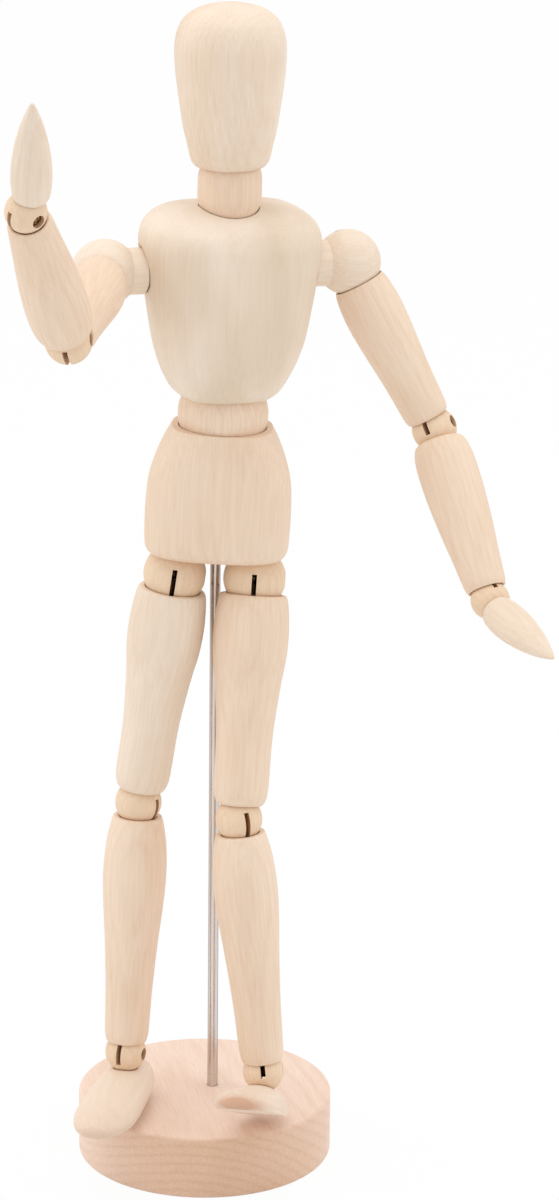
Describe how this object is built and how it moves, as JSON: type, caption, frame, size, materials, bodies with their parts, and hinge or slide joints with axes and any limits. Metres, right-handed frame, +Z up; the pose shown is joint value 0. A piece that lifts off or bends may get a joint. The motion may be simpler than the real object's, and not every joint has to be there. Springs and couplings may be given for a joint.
{
  "type": "jointed artist mannequin",
  "caption": "Jointed wooden artist figure of turned limbs on slotted ball joints strung with springs, posed waving on a steel rod in a round base.",
  "frame": {"origin": "centre of the underside of the base", "axes": "+Z up along the rod, the figure faces -Y, its left is +X"},
  "size_m": [0.1379, 0.1418, 0.3213],
  "materials": {
    "limb_wood": "sanded pale close-grained wood, unvarnished",
    "ball_wood": "sanded wood, slightly darker",
    "base_wood": "sanded pinkish wood",
    "rod_steel": "drawn bright rod",
    "hardware_steel": "zinc-plated wire and screws"
  },
  "bodies": {
    "base": {"base_disc": "base_wood", "support_rod": "rod_steel"},
    "pelvis": {"pelvis": "limb_wood", "hip_spring": "hardware_steel"},
    "waist_ball": {"waist_ball": "ball_wood"},
    "waist_spring": {"waist_spring": "hardware_steel"},
    "chest": {"chest": "limb_wood", "shoulder_spring": "hardware_steel"},
    "neck_ball": {"neck_ball": "ball_wood"},
    "neck_spring": {"neck_spring": "hardware_steel"},
    "head": {"head": "limb_wood", "head_screw_eye": "hardware_steel"},
    "right_hip_ball": {"right_hip_ball": "ball_wood", "right_hip_screw": "hardware_steel"},
    "right_thigh": {"right_thigh": "limb_wood", "right_thigh_spring": "hardware_steel"},
    "right_knee_ball": {"right_knee_ball": "ball_wood", "right_knee_screw": "hardware_steel"},
    "right_calf": {"right_calf": "limb_wood", "right_calf_spring": "hardware_steel"},
    "right_ankle_ball": {"right_ankle_ball": "ball_wood", "right_ankle_screw": "hardware_steel", "right_foot_peg": "limb_wood"},
    "right_foot": {"right_foot": "limb_wood"},
    "right_shoulder_ball": {"right_shoulder_ball": "ball_wood", "right_shoulder_screw": "hardware_steel"},
    "right_upper_arm": {"right_upper_arm": "limb_wood", "right_upper_arm_spring": "hardware_steel"},
    "right_elbow_ball": {"right_elbow_ball": "ball_wood", "right_elbow_screw": "hardware_steel"},
    "right_forearm": {"right_forearm": "limb_wood", "right_forearm_spring": "hardware_steel"},
    "right_wrist_ball": {"right_wrist_ball": "ball_wood", "right_wrist_screw": "hardware_steel", "right_hand_peg": "limb_wood"},
    "right_hand": {"right_hand": "limb_wood"},
    "left_hip_ball": {"left_hip_ball": "ball_wood", "left_hip_screw": "hardware_steel"},
    "left_thigh": {"left_thigh": "limb_wood", "left_thigh_spring": "hardware_steel"},
    "left_knee_ball": {"left_knee_ball": "ball_wood", "left_knee_screw": "hardware_steel"},
    "left_calf": {"left_calf": "limb_wood", "left_calf_spring": "hardware_steel"},
    "left_ankle_ball": {"left_ankle_ball": "ball_wood", "left_ankle_screw": "hardware_steel", "left_foot_peg": "limb_wood"},
    "left_foot": {"left_foot": "limb_wood"},
    "left_shoulder_ball": {"left_shoulder_ball": "ball_wood", "left_shoulder_screw": "hardware_steel"},
    "left_upper_arm": {"left_upper_arm": "limb_wood", "left_upper_arm_spring": "hardware_steel"},
    "left_elbow_ball": {"left_elbow_ball": "ball_wood", "left_elbow_screw": "hardware_steel"},
    "left_forearm": {"left_forearm": "limb_wood", "left_forearm_spring": "hardware_steel"},
    "left_wrist_ball": {"left_wrist_ball": "ball_wood", "left_wrist_screw": "hardware_steel", "left_hand_peg": "limb_wood"},
    "left_hand": {"left_hand": "limb_wood"}
  },
  "joints": [
    {"name": "figure_turn", "type": "hinge", "parent": "base", "child": "pelvis", "pos_m": [0.0021, 0.002, 0.1676], "axis": [0, 0, 1], "range_deg": [-180, 180]},
    {"name": "waist_turn", "type": "hinge", "parent": "pelvis", "child": "waist_ball", "pos_m": [0.00397, -0.0032, 0.21256], "axis": [0.0436, 0, 0.999], "range_deg": [-60, 60], "deforming": ["waist_spring"]},
    {"name": "waist_tilt", "type": "hinge", "parent": "waist_ball", "child": "waist_spring", "pos_m": [0.00397, -0.0032, 0.21256], "axis": [-0.3255, 0.9455, 0.007], "range_deg": [-15, 15], "deforming": ["waist_spring"]},
    {"name": "waist_bend", "type": "hinge", "parent": "waist_spring", "child": "chest", "pos_m": [0.00397, -0.0032, 0.21256], "axis": [0.9453, 0.3256, -0.0216], "range_deg": [-15, 15], "deforming": ["waist_spring"]},
    {"name": "neck_bend", "type": "hinge", "parent": "chest", "child": "neck_ball", "pos_m": [0.0053, -0.00318, 0.27125], "axis": [0.9453, 0.3256, -0.0216], "range_deg": [-15, 15], "deforming": ["neck_spring"]},
    {"name": "neck_tilt", "type": "hinge", "parent": "neck_ball", "child": "neck_spring", "pos_m": [0.00539, -0.00318, 0.27525], "axis": [-0.3255, 0.9455, 0.007], "range_deg": [-15, 15], "deforming": ["neck_spring"]},
    {"name": "head_turn", "type": "hinge", "parent": "neck_spring", "child": "head", "pos_m": [0.00539, -0.00318, 0.27525], "axis": [-0.0021, -0.0082, 1], "range_deg": [-90, 90], "deforming": ["neck_spring"]},
    {"name": "right_hip_turn", "type": "hinge", "parent": "pelvis", "child": "right_hip_ball", "pos_m": [-0.00868, -0.00301, 0.16807], "axis": [0.0436, 0, 0.999], "range_deg": [-45, 40], "deforming": ["hip_spring"]},
    {"name": "right_hip_swing", "type": "hinge", "parent": "right_hip_ball", "child": "right_thigh", "pos_m": [-0.00868, -0.00301, 0.16807], "axis": [0.9889, -0.0174, -0.1478], "range_deg": [-50, 5]},
    {"name": "right_knee_turn", "type": "hinge", "parent": "right_thigh", "child": "right_knee_ball", "pos_m": [-0.01832, -0.00516, 0.10383], "axis": [0.1483, 0.0331, 0.9884], "range_deg": [-75, 35], "deforming": ["right_thigh_spring"]},
    {"name": "right_knee_swing", "type": "hinge", "parent": "right_knee_ball", "child": "right_calf", "pos_m": [-0.01832, -0.00516, 0.10383], "axis": [0.5381, 0.8388, -0.0823], "range_deg": [-10, 60]},
    {"name": "right_ankle_swing", "type": "hinge", "parent": "right_calf", "child": "right_ankle_ball", "pos_m": [-0.02165, -0.01002, 0.03257], "axis": [0.9411, -0.3376, -0.0209], "range_deg": [-40, 7]},
    {"name": "right_foot_turn", "type": "hinge", "parent": "right_ankle_ball", "child": "right_foot", "pos_m": [-0.02165, -0.01002, 0.03257], "axis": [-0.0045, 0.0029, 1], "range_deg": [-60, 60]},
    {"name": "right_shoulder_turn", "type": "hinge", "parent": "chest", "child": "right_shoulder_ball", "pos_m": [-0.0268, -0.01409, 0.25267], "axis": [-0.9453, -0.3256, 0.0216], "range_deg": [-150, 150], "deforming": ["shoulder_spring"]},
    {"name": "right_arm_raise", "type": "hinge", "parent": "right_shoulder_ball", "child": "right_upper_arm", "pos_m": [-0.0268, -0.01409, 0.25267], "axis": [-0.0678, 0.1312, -0.989], "range_deg": [-25, 110]},
    {"name": "right_elbow_swing", "type": "hinge", "parent": "right_upper_arm", "child": "right_elbow_ball", "pos_m": [-0.03368, -0.06375, 0.24656], "axis": [0.9831, -0.1492, 0.1058], "range_deg": [-4, 120]},
    {"name": "right_forearm_turn", "type": "hinge", "parent": "right_elbow_ball", "child": "right_forearm", "pos_m": [-0.03368, -0.06375, 0.24656], "axis": [0.1743, 0.5892, -0.7889], "range_deg": [-90, 90], "deforming": ["right_forearm_spring"]},
    {"name": "right_wrist_swing", "type": "hinge", "parent": "right_forearm", "child": "right_wrist_ball", "pos_m": [-0.04222, -0.09262, 0.28521], "axis": [0.656, -0.667, -0.3532], "range_deg": [-50, 85]},
    {"name": "right_hand_turn", "type": "hinge", "parent": "right_wrist_ball", "child": "right_hand", "pos_m": [-0.04222, -0.09262, 0.28521], "axis": [-0.0415, 0.4355, -0.8993], "range_deg": [-90, 90]},
    {"name": "left_hip_turn", "type": "hinge", "parent": "pelvis", "child": "left_hip_ball", "pos_m": [0.0127, -0.00339, 0.16714], "axis": [0.0436, 0, 0.999], "range_deg": [-15, 45], "deforming": ["hip_spring"]},
    {"name": "left_hip_swing", "type": "hinge", "parent": "left_hip_ball", "child": "left_thigh", "pos_m": [0.0127, -0.00339, 0.16714], "axis": [0.9985, -0.0175, -0.0523], "range_deg": [-40, 5]},
    {"name": "left_knee_turn", "type": "hinge", "parent": "left_thigh", "child": "left_knee_ball", "pos_m": [0.00913, -0.018, 0.1039], "axis": [0.0549, 0.2248, 0.9729], "range_deg": [-60, 60], "deforming": ["left_thigh_spring"]},
    {"name": "left_knee_swing", "type": "hinge", "parent": "left_knee_ball", "child": "left_calf", "pos_m": [0.00913, -0.018, 0.1039], "axis": [0.9103, 0.4098, 0.0589], "range_deg": [-60, 10]},
    {"name": "left_ankle_swing", "type": "hinge", "parent": "left_calf", "child": "left_ankle_ball", "pos_m": [0.01638, -0.02392, 0.03302], "axis": [-0.9948, -0.0136, -0.1006], "range_deg": [-38, 45]},
    {"name": "left_foot_turn", "type": "hinge", "parent": "left_ankle_ball", "child": "left_foot", "pos_m": [0.01638, -0.02392, 0.03302], "axis": [0.069, 0.4307, 0.8998], "range_deg": [-60, 60]},
    {"name": "left_shoulder_turn", "type": "hinge", "parent": "chest", "child": "left_shoulder_ball", "pos_m": [0.03653, 0.00772, 0.25123], "axis": [0.9453, 0.3256, -0.0216], "range_deg": [-150, 150], "deforming": ["shoulder_spring"]},
    {"name": "left_arm_raise", "type": "hinge", "parent": "left_shoulder_ball", "child": "left_upper_arm", "pos_m": [0.03653, 0.00772, 0.25123], "axis": [-0.3208, 0.9153, -0.2435], "range_deg": [-95, 25]},
    {"name": "left_elbow_swing", "type": "hinge", "parent": "left_upper_arm", "child": "left_elbow_ball", "pos_m": [0.06016, 0.00417, 0.20674], "axis": [0.8442, -0.2594, 0.4691], "range_deg": [-33, 92]},
    {"name": "left_forearm_turn", "type": "hinge", "parent": "left_elbow_ball", "child": "left_forearm", "pos_m": [0.06016, 0.00417, 0.20674], "axis": [-0.302, 0.4928, 0.8161], "range_deg": [-90, 90], "deforming": ["left_forearm_spring"]},
    {"name": "left_wrist_swing", "type": "hinge", "parent": "left_forearm", "child": "left_wrist_ball", "pos_m": [0.07496, -0.01998, 0.16675], "axis": [0.8617, 0.5072, 0.0127], "range_deg": [-25, 105]},
    {"name": "left_hand_turn", "type": "hinge", "parent": "left_wrist_ball", "child": "left_hand", "pos_m": [0.07496, -0.01998, 0.16675], "axis": [-0.4997, 0.8441, 0.1942], "range_deg": [-90, 90]}
  ]
}
